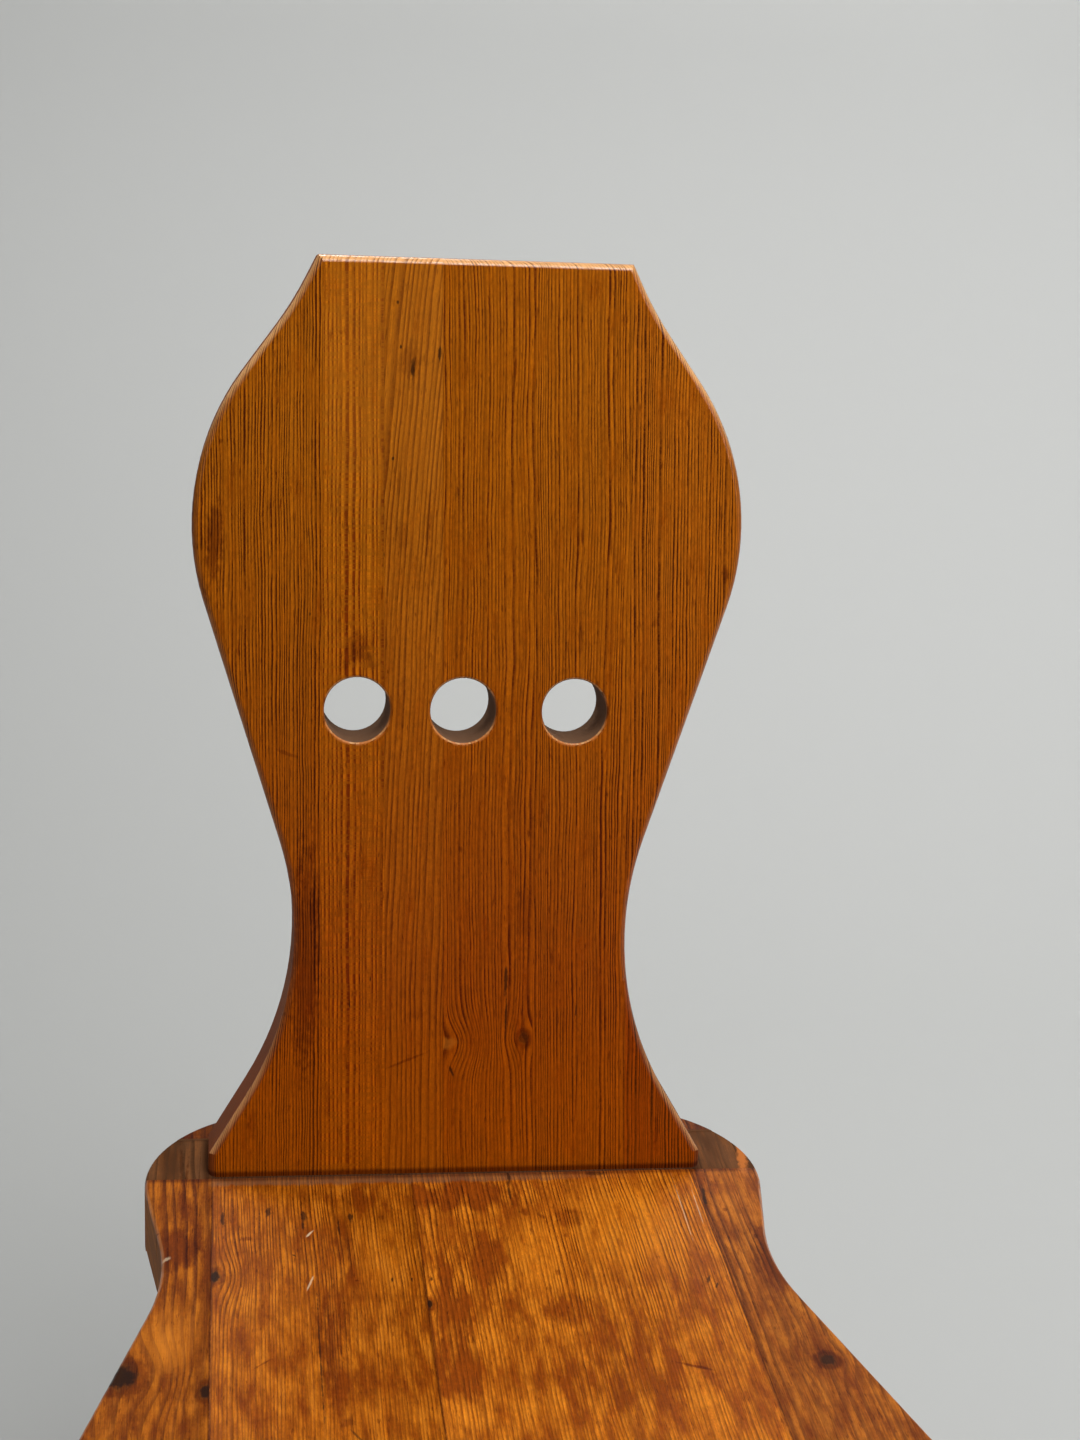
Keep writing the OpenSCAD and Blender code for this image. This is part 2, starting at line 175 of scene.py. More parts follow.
def lamp(name, place, size, watts):
    """A round soft lamp that points at the middle of the chair."""
    light = bpy.data.lights.new(name, "AREA")
    light.shape = "DISK"
    light.size = size
    light.energy = watts
    lamp_object = bpy.data.objects.new(name, light)
    lamp_object.location = place
    lamp_object.rotation_euler = (chair_middle - Vector(place)).to_track_quat("-Z", "Y").to_euler()
    bpy.context.scene.collection.objects.link(lamp_object)


lamp("overhead_lamp", (0.5, -0.9, 2.9), size=1.5, watts=56)
lamp("right_lamp", (2.6, -1.3, 1.9), size=1.4, watts=27)
lamp("left_lamp", (-2.2, -1.5, 1.9), size=1.6, watts=10)
lamp("rear_lamp", (-0.45, 2.0, 2.9), size=1.4, watts=46)

sky = bpy.data.worlds.new("sky")
bpy.context.scene.world = sky
sky.use_nodes = True
sky_tree = sky.node_tree
ray = put(sky_tree, "LightPath").outputs
seen_range = {"Value": ray["Is Camera Ray"], "To Min": sky_light, "To Max": sky_seen}
seen_or_not = put(sky_tree, "MapRange", seen_range).outputs[0]
mirrored_range = {"Value": ray["Is Glossy Ray"], "To Min": seen_or_not, "To Max": sky_mirrored}
mirrored_or_not = put(sky_tree, "MapRange", mirrored_range).outputs[0]
sky_shader = sky_tree.nodes["Background"]
sky_shader.inputs["Color"].default_value = (1, 1, 1, 1)
sky_tree.links.new(mirrored_or_not, sky_shader.inputs["Strength"])


# Back
# Six staves of pine glued edge to edge, sawn to a waisted outline, drilled with three
# holes, rounded over along every edge and varnished. It leans back from the seat.
seat_front = 0.375
seat_height = 0.445
foot_of_back = (0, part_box("seat_board_3")[0][1] + seat_front, seat_height)
recline = math.radians(8.3)
back_turn = (math.pi / 2 - recline, 0, 0)
bow_length = 490
hole_height = 258
hole_radius = 17.5
left_hole, middle_hole, right_hole = -58.5, -2, 58
# Each glue joint: where it starts at the foot, and by how many degrees it leans.
back_joints = ((-74.6, 0.6), (-39, 1.1), (-7, 1.3), (42.5, 1.4), (94.5, 1.5))

soot = paint(30, 15, 8)
umber = (0.42, 0.27, 0.14, 1)
amber = paint(206, 122, 34)
bright_orange = paint(232, 134, 44)
resin_brown = (0.42, 0.3, 0.2, 1)
glue_line = (0.22, 0.14, 0.1, 1)
end_grain_brown = (0.55, 0.5, 0.45, 1)

# The wood is drawn in millimetres in each board's own frame: x across the grain, y along
# it, z out of the face that shows. The growth rings are rounds about the heart of the
# tree, so they run as lines on a board's face and as arcs on its sawn end.
millimetres = (0.001, 0.001, 0.001)
knot_depth, mark_depth, zone_depth = 900, 20, 40


def work(tree, how, *values, clamp=False):
    return put(tree, "Math", dict(enumerate(values)), operation=how, use_clamp=clamp).outputs[0]


def vectors(tree, how, *values, result=0):
    return put(tree, "VectorMath", dict(enumerate(values)), operation=how).outputs[result]


def scaled(tree, vector, height):
    return put(tree, "VectorMath", {0: vector, "Scale": height}, operation="SCALE").outputs[0]


def mixed(tree, share, under, over, how="MIX"):
    inputs = {0: share, 6: under, 7: over}
    return put(tree, "Mix", inputs, data_type="RGBA", blend_type=how, clamp_factor=True).outputs[2]


def step(tree, value, start, end, before=0.0, after=1.0):
    """Before up to the start, after from the end on, and a smooth change between them."""
    inputs = {0: value, 1: start, 2: end, 3: before, 4: after}
    return put(tree, "MapRange", inputs, interpolation_type="SMOOTHSTEP").outputs[0]


def noise_on(tree, board, scale, seed=None, detail=2.0, roughness=0.5, result="Fac"):
    """Noise with scale its steps for each millimetre across, along and into the board."""
    place = vectors(tree, "MULTIPLY", board, scale)
    if seed is not None:
        place = vectors(tree, "ADD", place, seed)
    inputs = {"Vector": place, "Scale": 1.0, "Detail": detail, "Roughness": roughness}
    return put(tree, "TexNoise", inputs).outputs[result]


def new_group(name, inputs, outputs):
    tree = bpy.data.node_groups.new(name, "ShaderNodeTree")
    for sort, sockets in (("INPUT", inputs), ("OUTPUT", outputs)):
        for socket, kind in sockets.items():
            tree.interface.new_socket(name=socket, in_out=sort, socket_type="NodeSocket" + kind)
    return tree, tree.nodes.new("NodeGroupInput").outputs, tree.nodes.new("NodeGroupOutput").inputs


def growth_rings():
    """Late is 1 on the dark part of each ring, and Tone differs from ring to ring. Good
    and bad years, the luck, make the rings wider and narrower."""
    long_bends = (0.014, 0.0045, 0.014)
    short_bends = (0.13, 0.03, 0.13)
    short_bend_height = 1.3
    luck_pace = 0.19
    luck_gain = 2.6
    darkest_from = 0.88
    darkest_to = 0.93
    tree, given, result = new_group(
        "growth rings",
        {"Board": "Vector", "Heart": "Vector", "Ring": "Float", "Begin": "Float", "Wander": "Float",
         "Seed": "Float"},
        {"Late": "Float", "Tone": "Float"},
    )
    seed = put(tree, "CombineXYZ", {0: given["Seed"], 1: given["Seed"]}).outputs[0]

    def sway(bends, height):
        colour = noise_on(tree, given["Board"], bends, seed, result="Color")
        return scaled(tree, vectors(tree, "SUBTRACT", colour, (0.5, 0.5, 0.5)), height)

    swayed = vectors(tree, "ADD", given["Board"], sway(long_bends, given["Wander"]))
    swayed = vectors(tree, "ADD", swayed, sway(short_bends, short_bend_height))
    from_heart = vectors(tree, "MULTIPLY", vectors(tree, "SUBTRACT", swayed, given["Heart"]), (1, 0, 1))
    radius = vectors(tree, "LENGTH", from_heart, result="Value")
    count = work(tree, "DIVIDE", radius, given["Ring"])
    season = work(tree, "MULTIPLY_ADD", count, luck_pace, given["Seed"])
    luck = put(tree, "TexNoise", {"W": season, "Scale": 1.0, "Detail": 2.0}, noise_dimensions="1D").outputs[0]
    grown = work(tree, "MULTIPLY_ADD", luck, luck_gain, count)
    share = work(tree, "FRACT", grown)
    rise = step(tree, share, given["Begin"], darkest_from)
    fall = step(tree, share, darkest_to, 1.0, before=1.0, after=0.0)
    tree.links.new(work(tree, "MULTIPLY", rise, fall), result["Late"])
    number = work(tree, "ADD", work(tree, "FLOOR", grown), given["Seed"])
    tone = put(tree, "TexWhiteNoise", {"W": number}, noise_dimensions="1D").outputs["Value"]
    tree.links.new(tone, result["Tone"])
    return tree


def fibres():
    """Fibre is the fine streaking along the grain, Pores the finest specks, Cloud the
    slow change of tone, Ripple the faint bars across the grain, Fleck the dark resin
    streaks, Patch the blotches of wear, and Ragged breaks up the edges of marks."""
    tree, given, result = new_group(
        "fibres",
        {"Board": "Vector", "Seed": "Float"},
        {"Fibre": "Float", "Pores": "Float", "Cloud": "Float", "Ripple": "Float", "Fleck": "Float",
         "Patch": "Float", "Ragged": "Float"},
    )
    seed = put(tree, "CombineXYZ", {0: given["Seed"], 1: given["Seed"], 2: given["Seed"]}).outputs[0]
    for name, scale, detail in (
        ("Fibre", (1.5, 0.04, 1.5), 3.0),
        ("Pores", (2.2, 0.5, 2.2), 1.0),
        ("Cloud", (0.035, 0.008, 0.035), 3.0),
        ("Ripple", (0.1, 0.75, 0.1), 1.0),
        ("Patch", (0.13, 0.034, 0.13), 6.0),
        ("Ragged", (0.45, 0.22, 0.45), 3.0),
    ):
        noise = noise_on(tree, given["Board"], scale, seed, detail, roughness=0.6)
        tree.links.new(noise, result[name])
    fleck_scale = (1.1, 0.13, 1.1)
    fleck_range = (0.64, 0.74)
    specks = noise_on(tree, given["Board"], fleck_scale, seed, detail=1.0)
    tree.links.new(step(tree, specks, *fleck_range), result["Fleck"])
    return tree


def mark():
    """A mark at Place on the face, with half its size each way, and ragged edges."""
    raggedness = 1.5
    mark_fades = (0.45, 1.15)
    tree, given, result = new_group(
        "mark",
        {"Board": "Vector", "Place": "Vector", "Size": "Vector", "Turn": "Float", "Ragged": "Float"},
        {"Mark": "Float"},
    )
    away = vectors(tree, "SUBTRACT", given["Board"], given["Place"])
    inputs = {"Vector": away, "Angle": given["Turn"]}
    turned = put(tree, "VectorRotate", inputs, rotation_type="Z_AXIS").outputs[0]
    reach = vectors(tree, "LENGTH", vectors(tree, "DIVIDE", turned, given["Size"]), result="Value")
    ragged = work(tree, "MULTIPLY_ADD", given["Ragged"], raggedness, -raggedness / 2)
    rough_reach = work(tree, "ADD", reach, ragged)
    covered = step(tree, rough_reach, *mark_fades, before=1.0, after=0.0)
    tree.links.new(covered, result["Mark"])
    return tree


def knot():
    """Bends the rings round a knot at Place and gives the knot's own dark body and rim."""
    raggedness = 0.7
    drawn_in = 0.88
    body_fades = (0.5, 1.1)
    rim_begins = (0.7, 1.0)
    rim_fades = (1.1, 1.7)
    tree, given, result = new_group(
        "knot",
        {"Board": "Vector", "Place": "Vector", "Size": "Vector", "Spread": "Float", "Ragged": "Float"},
        {"Bent": "Vector", "Body": "Float", "Rim": "Float"},
    )
    away = vectors(tree, "SUBTRACT", given["Board"], given["Place"])
    reach = vectors(tree, "LENGTH", vectors(tree, "DIVIDE", away, given["Size"]), result="Value")
    ragged = work(tree, "MULTIPLY_ADD", given["Ragged"], raggedness, -raggedness / 2)
    rough_reach = work(tree, "ADD", reach, ragged)
    tree.links.new(step(tree, rough_reach, *body_fades, before=1.0, after=0.0), result["Body"])
    rim_in = step(tree, rough_reach, *rim_begins)
    rim_out = step(tree, rough_reach, *rim_fades, before=1.0, after=0.0)
    tree.links.new(work(tree, "MULTIPLY", rim_in, rim_out), result["Rim"])
    fade = work(tree, "POWER", work(tree, "DIVIDE", reach, given["Spread"]), 2.0)
    near = work(tree, "EXPONENT", work(tree, "MULTIPLY", fade, -1.0))
    pull = work(tree, "MULTIPLY", near, -drawn_in)
    sideways = vectors(tree, "MULTIPLY", away, (1, 0, 0))
    tree.links.new(vectors(tree, "ADD", given["Board"], scaled(tree, sideways, pull)), result["Bent"])
    return tree


rings_group = growth_rings()
fibres_group = fibres()
mark_group = mark()
knot_group = knot()


class Pine:
    """One board's material while it is being wired: frame, colour, relief and gloss."""

    def __init__(self, name, origin, turn, seed, slant=0.0, bow=0.0):
        self.material = bpy.data.materials.new(name)
        self.material.use_nodes = True
        self.tree = self.material.node_tree
        place = put(self.tree, "TexCoord").outputs["Object"]
        board = {"Vector": place, "Location": origin, "Rotation": turn, "Scale": millimetres}
        self.board = put(self.tree, "Mapping", board, vector_type="TEXTURE").outputs[0]
        leaned = {"Vector": self.board, "Rotation": (0, 0, math.radians(slant))}
        self.grain = put(self.tree, "Mapping", leaned, vector_type="TEXTURE").outputs[0]
        if bow:
            height = self.times(self.part("Y"), 1 / bow_length)
            shift = self.times(self.times(height, height), -bow)
            bowed = put(self.tree, "CombineXYZ", {0: shift}).outputs[0]
            self.grain = vectors(self.tree, "ADD", self.grain, bowed)
        self.axes = Euler(turn).to_matrix()
        self.seed = seed
        self.fibre = self.group(fibres_group, Board=self.grain, Seed=seed)
        self.bias = 0.0
        self.bare = 0.0
        self.over = []

    def group(self, group, **inputs):
        return put(self.tree, "Group", inputs, node_tree=group).outputs

    def times(self, value, share):
        return work(self.tree, "MULTIPLY", value, share)

    def varied(self, value, noise, least, gain):
        """The value times least where the noise is 0, and times least plus gain at 1."""
        return self.times(value, work(self.tree, "MULTIPLY_ADD", noise, gain, least))

    def part(self, axis):
        return put(self.tree, "SeparateXYZ", {0: self.board}).outputs[axis]

    def facing(self, axis):
        """1 where the surface faces along the board's axis, either way, and 0 at its edge."""
        normal = put(self.tree, "NewGeometry").outputs["Normal"]
        turned = vectors(self.tree, "DOT_PRODUCT", normal, tuple(self.axes.col[axis]), result="Value")
        return work(self.tree, "ABSOLUTE", turned)

    def shade(self, share, colour, how="MULTIPLY"):
        self.colour = mixed(self.tree, share, self.colour, colour, how)

    def knot(self, x, y, width, length, spread=2.6, body=0.95, rim=0.75):
        """A knot right through the board, with half its width and half its length."""
        made = self.group(knot_group, Board=self.grain, Place=(x, y, 0), Size=(width, length, knot_depth),
                          Spread=spread, Ragged=self.fibre["Ragged"])
        self.grain = made["Bent"]
        self.over.append((made["Rim"], umber, rim))
        self.over.append((made["Body"], soot, body))

    def mark(self, x, y, width, length, turn=0.0, colour=soot, strength=0.8):
        """A mark on the face, with half its width and half its length."""
        made = self.group(mark_group, Board=self.board, Place=(x, y, 0), Size=(width, length, mark_depth),
                          Turn=math.radians(turn), Ragged=self.fibre["Ragged"])
        self.over.append((made["Mark"], colour, strength))

    def zone(self, x, y, width, length, amount):
        """Makes a stretch of the face more worn, or with amount below 0 less so."""
        made = self.group(mark_group, Board=self.board, Place=(x, y, 0), Size=(width, length, zone_depth),
                          Ragged=self.fibre["Patch"])
        self.bias = work(self.tree, "MULTIPLY_ADD", made["Mark"], amount, self.bias)

    def wood(self, heart, ring, light, dark, contrast=0.9, begin=0.4, wander=4.0, ripple=0.12,
             stain=(0.72, 0.55, 0.45), wear=0.5, spread=0.14, fade=0.5, glow=0.0):
        """Colours the board: dark rings on light wood, fine streaks, and stain or wear."""
        rings_fade = (0.36, 0.6)
        bar_range = (0.35, 0.65)
        fibre_in_wear = 0.22
        half_worn = wear + fibre_in_wear / 2
        fleck_strength = 0.7
        tree = self.tree
        rings = self.group(rings_group, Board=self.grain, Heart=(heart[0], 0, heart[1]), Ring=ring,
                           Begin=begin, Wander=wander, Seed=self.seed)
        late = self.varied(rings["Late"], rings["Tone"], least=0.65, gain=0.55)
        late = self.varied(late, self.fibre["Cloud"], least=0.5, gain=0.9)
        late = self.times(late, step(tree, self.fibre["Patch"], *rings_fade, before=1 - fade, after=1.1))
        bars = step(tree, self.fibre["Ripple"], *bar_range, before=1 + ripple, after=1 - ripple)
        self.late = work(tree, "MULTIPLY", late, bars, clamp=True)
        self.colour = mixed(tree, self.times(self.late, contrast), paint(*light), paint(*dark))
        streak = work(tree, "MULTIPLY_ADD", self.fibre["Fibre"], 0.9, 0.55)
        streak = self.varied(streak, self.fibre["Pores"], least=0.75, gain=0.5)
        streak = self.varied(streak, self.fibre["Ragged"], least=0.7, gain=0.6)
        streak = self.varied(streak, bars, least=0.7, gain=0.3)
        streak = self.varied(streak, rings["Tone"], least=0.93, gain=0.14)
        self.shade(1.0, put(tree, "CombineColor", {0: streak, 1: streak, 2: streak}).outputs[0])
        worn = work(tree, "ADD", self.fibre["Patch"], self.bias)
        worn = work(tree, "MULTIPLY_ADD", self.fibre["Fibre"], fibre_in_wear, worn)
        stained = step(tree, worn, half_worn - spread, half_worn + spread, before=1.0, after=0.0)
        self.shade(stained, (*stain, 1))
        polished = step(tree, worn, half_worn, half_worn + 2 * spread, after=glow)
        self.shade(polished, bright_orange, "SCREEN")
        self.shade(self.times(self.fibre["Fleck"], fleck_strength), resin_brown)

    def seam(self, x, slant=0.0, *, width, strength):
        """The dark line of a glue joint that stands at x and leans to the left."""
        breaks = (0.3, 0.6)
        left_in_breaks = 0.45
        full_within = 0.1
        tree = self.tree
        angle = math.radians(slant)
        along = self.times(self.part("Y"), math.sin(angle))
        across = work(tree, "MULTIPLY_ADD", self.part("X"), math.cos(angle), -x * math.cos(angle))
        away = work(tree, "ABSOLUTE", work(tree, "ADD", across, along))
        broken = step(tree, self.fibre["Ragged"], *breaks, before=left_in_breaks)
        line = step(tree, away, full_within, width, before=strength, after=0.0)
        self.shade(self.times(line, broken), glue_line)

    def edges(self, pale, share, side_share=0.1, dusty=(132, 80, 36), dust=0.5, end=0.35):
        """Paler, glossy wood where a rounded edge has worn, partly a painted highlight, most
        across the grain, with dust on the sides and darker end grain."""
        off_the_face = (0.985, 0.8)
        before_the_side = (0.02, 0.4)
        across_the_grain = (0.15, 0.5)
        gloss_breaks = (0.36, 0.56)
        on_the_side = (0.3, 0.05)
        on_the_end = (0.6, 0.95)
        kept_by_rings = 0.75
        side_roughness = 0.75
        tree = self.tree
        flat = self.facing(2)
        band = self.times(step(tree, flat, *off_the_face), step(tree, flat, *before_the_side))
        band = self.times(band, step(tree, self.facing(1), *across_the_grain, before=side_share / share))
        self.gloss_band = self.times(band, step(tree, self.fibre["Ragged"], *gloss_breaks))
        between_rings = work(tree, "MULTIPLY_ADD", self.late, -kept_by_rings, 1.0)
        # Paler wood on the rounded edges: partly wear, partly a painted highlight.
        paler = self.times(band, self.times(between_rings, share))
        self.shade(paler, paint(*pale), "MIX")
        side = step(tree, flat, *on_the_side)
        self.bare = work(tree, "MAXIMUM", self.bare, self.times(side, side_roughness))
        self.shade(self.times(side, dust), paint(*dusty), "MIX")
        end_grain = step(tree, self.facing(1), *on_the_end)
        self.shade(self.times(end_grain, end), end_grain_brown)

    def finish(self, roughness, shine, relief, waves=0.0):
        """Lays knots and marks over the wood, and wires its colour, gloss and relief."""
        rough_spread = 0.22
        smoothest = roughness - 0.08
        coat_roughness = 0.22
        ring_relief = 0.55
        fibre_relief = 0.5
        relief_height = 0.0004
        wave_scale = (0.12, 0.12, 0.12)
        tree = self.tree
        for share, colour, strength in self.over:
            how = "MULTIPLY" if colour == umber else "MIX"
            self.shade(self.times(share, strength), colour, how)
        shader = tree.nodes["Principled BSDF"]
        tree.links.new(self.colour, shader.inputs["Base Color"])
        rough = work(tree, "MULTIPLY_ADD", self.fibre["Patch"], rough_spread, smoothest)
        tree.links.new(work(tree, "MAXIMUM", rough, self.bare), shader.inputs["Roughness"])
        shader.inputs["Specular IOR Level"].default_value = shine
        tree.links.new(self.gloss_band, shader.inputs["Coat Weight"])
        shader.inputs["Coat Roughness"].default_value = coat_roughness
        height = self.times(self.fibre["Fibre"], fibre_relief)
        height = work(tree, "MULTIPLY_ADD", self.late, ring_relief, height)
        if waves:
            height = work(tree, "MULTIPLY_ADD", noise_on(tree, self.board, wave_scale), waves, height)
        bump = put(tree, "Bump", {"Strength": relief, "Distance": relief_height, "Height": height})
        tree.links.new(bump.outputs[0], shader.inputs["Normal"])
        return self.material


def smooth_copy(node, material, shape=None):
    """A merged, softly shaded copy of a CAD piece, which stands in its place."""
    same_place = 0.00002
    soft_below = math.radians(40)
    mesh = bmesh.new()
    mesh.from_mesh(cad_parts[node].data)
    bmesh.ops.remove_doubles(mesh, verts=mesh.verts, dist=same_place)
    if shape:
        shape(mesh)
    for face in mesh.faces:
        face.smooth = True
    for edge in mesh.edges:
        edge.smooth = len(edge.link_faces) == 2 and edge.calc_face_angle(0) < soft_below
    data = bpy.data.meshes.new(node + "_wood")
    mesh.to_mesh(data)
    mesh.free()
    data.materials.append(material)
    piece = bpy.data.objects.new(node + "_wood", data)
    bpy.context.scene.collection.objects.link(piece)
    evened = piece.modifiers.new("even_shading", "WEIGHTED_NORMAL")
    evened.keep_sharp = True
    evened.weight = 100
    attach(piece, "root")
    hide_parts(node)


# A mark here is its x and y, half its width and length, its turn in degrees, its colour
# and its strength. A knot is its x and y, half its width and length, how far it bends
# the rings, and the strengths of its body and rim.
staves = {
    "back_stave_1": dict(
        slant=0.6, joints=(0,), trim=-0.1355,
        wood=dict(heart=(-300, -190), ring=1.2, light=(172, 95, 6), dark=(74, 24, 0),
                  begin=0.25, wander=5, contrast=1.15),
        marks=(
            (-134, 346, 5, 24, 3, umber, 0.7), (-154, 330, 10, 90, 2, umber, 0.7),
            (-143, 296, 7, 34, 4, umber, 0.5), (-84, 122, 9, 70, 0, umber, 0.6),
            (-95.8, 234.6, 7, 1.2, 20, umber, 0.5), (-88, 166, 1.6, 14, 0, umber, 0.5),
            (-84, 309, 0.6, 1.2), (-80, 150, 2.5, 12, 0, umber, 0.35), (-121, 290, 0.8, 5, 0, umber),
            (-100, 366, 0.6, 3, 0, umber), (-131, 398, 1.2, 1.2, 0, umber, 0.5),
            (-112, 30, 3, 10, 0, umber, 0.4),
        ),
    ),
    "back_stave_2": dict(
        slant=0.85, joints=(0, 1), holes=(left_hole,),
        wood=dict(heart=(-260, -100), ring=2.3, light=(178, 101, 8), dark=(104, 38, 0),
                  begin=0.3, wander=4, ripple=0.45, contrast=0.95),
        marks=(
            (-59, 291, 7, 10, 5, umber, 0.62), (-52, 283, 3, 5, -20, umber, 0.4),
            (-66, 283, 3, 4, 0, umber, 0.3), (-56, 440, 34, 80, 0, amber, 0.14), (-45, 341, 0.8, 1.6),
            (-61, 150, 2, 16, 0, umber, 0.3), (-71, 40, 1.5, 12, 0, umber, 0.35), (-60, 96, 0.5, 3),
            (-49, 110, 0.4, 2), (-70, 455, 2, 1.2, 30, umber, 0.4),
        ),
    ),
    "back_stave_3": dict(
        slant=1.2, bow=24, joints=(1, 2), holes=(left_hole, middle_hole),
        wood=dict(heart=(-190, -90), ring=2.5, light=(172, 97, 12), dark=(104, 46, 2),
                  begin=0.3, wander=10),
        marks=(
            (-22, 440, 30, 80, 0, amber, 0.12), (-41, 471, 0.8, 1.2), (-39, 448.4, 0.7, 1.1),
            (-42, 390.8, 0.7, 1.1), (-32.6, 437, 1.3, 5.5), (-18.8, 445, 0.9, 5.5),
            (-34, 441, 6, 11, 0, umber, 0.4), (-22.5, 357, 1.5, 19, 2, umber, 0.5),
            (-36, 350, 3, 9, 0, umber, 0.35), (-38.5, 378, 1.6, 7, 0, umber, 0.4),
            (-23, 90, 6, 3, 0, umber, 0.3), (-49, 57.5, 9, 0.8, -18, umber, 0.5),
            (-28, 64, 12, 0.9, -22, umber, 0.6), (-35, 260, 2, 18, 3, umber, 0.25),
        ),
    ),
    "back_stave_4": dict(
        slant=1.35, joints=(2, 3), holes=(middle_hole,),
        knots=((37.4, 74.7, 3.6, 4.2, 2.6, 0.6, 0.6), (-7.5, 73, 6.5, 5.5, 2.6, 0.0, 0.22)),
        wood=dict(heart=(74, -52), ring=1.5, light=(170, 92, 4), dark=(90, 31, 0),
                  begin=0.3, wander=7, contrast=1.0),
        marks=(
            (25, 108, 1.3, 10), (25.6, 90, 0.7, 14), (21, 440.5, 0.8, 8, 0, umber),
            (-3.5, 57, 0.9, 3, -20), (-9, 45, 0.7, 3.5, -15), (34, 146, 5, 20, 0, umber, 0.35),
            (-6, 73, 6, 4, 0, amber, 0.3), (-2, 30, 1, 6, 0, umber, 0.4),
            (14, 300, 1.4, 16, 0, umber, 0.25), (28, 205, 3, 22, 0, umber, 0.22),
            (37, 95, 1.6, 12, 0, umber, 0.35),
        ),
    ),
    "back_stave_5": dict(
        slant=1.45, joints=(3, 4), holes=(right_hole,),
        wood=dict(heart=(300, -180), ring=1.45, light=(172, 94, 6), dark=(82, 28, 0),
                  begin=0.28, wander=8, contrast=1.05),
        marks=(
            (59, 352, 0.8, 7, 0, umber), (60, 300, 1.6, 14, 0, umber, 0.4), (78, 338, 0.9, 6, 0, umber, 0.5),
            (50, 120, 0.8, 6, 0, umber, 0.5), (64.3, 91, 0.5, 3), (66, 48, 0.4, 40, 1, umber, 0.6),
            (72, 180, 1.4, 16, 0, umber, 0.3), (84, 130, 1.2, 9, 0, umber, 0.4),
        ),
    ),
    "back_stave_6_upper": dict(
        slant=1.5, joints=(4,),
        wood=dict(heart=(330, -160), ring=1.35, light=(178, 97, 10), dark=(72, 24, 0),
                  begin=0.28, wander=5, contrast=1.15),
        marks=(
            (137, 333, 2, 6, -5, umber, 0.75), (150, 300, 7, 60, 6, umber, 0.55),
            (146, 385, 4, 30, -6, umber, 0.3), (100, 306, 2, 2.5, 30, umber, 0.45),
            (121, 318, 1.2, 2, 0, umber, 0.4), (133, 362, 0.8, 7, 0, umber, 0.45),
            (112, 275, 1.4, 8, 0, umber, 0.35),
        ),
    ),
    "back_stave_6_lower": dict(
        slant=1.5, joints=(4,), trim=0.1375,
        wood=dict(heart=(330, -160), ring=1.35, light=(160, 78, 2), dark=(52, 14, 0),
                  begin=0.25, wander=5, contrast=1.1),
        marks=((112, 20, 1.5, 12, 0, umber, 0.4),),
    ),
}


chipped_and_highlit_rim = paint(206, 120, 52)
rim_dirt = (0.5, 0.38, 0.3, 1)
bare_wall = paint(112, 80, 56)


def bore(pine, x):
    """The bare, dirty wall of a hole, and its rim with the varnish knocked off below, where its paler colour
    is partly a painted highlight.
    """
    below_hole = (hole_height - 4, hole_height - 14)
    chips = (0.46, 0.52)
    chipped_rim = (hole_radius + 2.2, hole_radius + 1.0)
    dirty_rim = (hole_radius + 2.6, hole_radius + 0.4)
    inside = (hole_radius + 0.3, hole_radius + 0.1)
    tree = pine.tree
    away = vectors(tree, "MULTIPLY", vectors(tree, "SUBTRACT", pine.board, (x, hole_height, 0)), (1, 1, 0))
    radius = vectors(tree, "LENGTH", away, result="Value")
    below = step(tree, pine.part("Y"), *below_hole)
    chipped = step(tree, pine.fibre["Ragged"], *chips)
    rim = pine.times(step(tree, radius, *chipped_rim), below)
    # Below each hole the rim is paler: chipped varnish and a painted highlight.
    pine.shade(pine.times(rim, pine.times(chipped, 0.8)), chipped_and_highlit_rim, "MIX")
    pine.shade(step(tree, radius, *dirty_rim, after=0.35), rim_dirt)
    wall = step(tree, radius, *inside)
    pine.shade(wall, bare_wall, "MIX")
    pine.bare = work(tree, "MAXIMUM", pine.bare, wall)


trim_top = 0.06
trim_round = 0.006
trim_cuts = (0, 22.5, 45, 67.5)
front_of_back = Vector((0, -math.cos(recline), math.sin(recline)))


def trim_foot(x):
    """Saws the flared corner of the foot upright at x, and rounds the new front edge."""
    outwards = Vector((math.copysign(1, x), 0, 0))
    axis = Vector(foot_of_back) + outwards * (abs(x) - trim_round) - front_of_back * trim_round
    level = Vector((0, 0, seat_height + trim_top))
    same_place = 0.000001

    def saw(mesh):
        whole = mesh.verts[:] + mesh.edges[:] + mesh.faces[:]
        bmesh.ops.bisect_plane(mesh, geom=whole, plane_co=level, plane_no=(0, 0, 1), dist=same_place)
        for cut in trim_cuts:
            turn = math.radians(cut)
            out = outwards * math.cos(turn) + front_of_back * math.sin(turn)
            foot = [face for face in mesh.faces if face.calc_center_median().z < level.z]
            around = dict.fromkeys(part for face in foot for part in (*face.verts, *face.edges))
            sawn = bmesh.ops.bisect_plane(
                mesh, geom=[*foot, *around], plane_co=axis + out * trim_round, plane_no=out,
                clear_outer=True, dist=same_place,
            )["geom_cut"]
            rim = [part for part in sawn if isinstance(part, bmesh.types.BMEdge) and part.is_boundary]
            bmesh.ops.contextual_create(mesh, geom=rim)
        bmesh.ops.triangulate(mesh, faces=[face for face in mesh.faces if len(face.verts) > 3])

    return saw


# Heights above the seat where each change of colour starts and where it is full.
painted_shade_heights = (420, 60)
foot_painted_light_heights = (120, 20)
foot_edge_darkens = (110, 60)
contact_shadow_heights = (3, 0.4)
redder_painted_shade = (0.86, 0.61, 0.27, 1)
red_painted_light = (0.045, 0.012, 0, 1)
foot_edge_colour = (0.62, 0.5, 0.4, 1)
contact_shadow_colour = (0.4, 0.32, 0.3, 1)

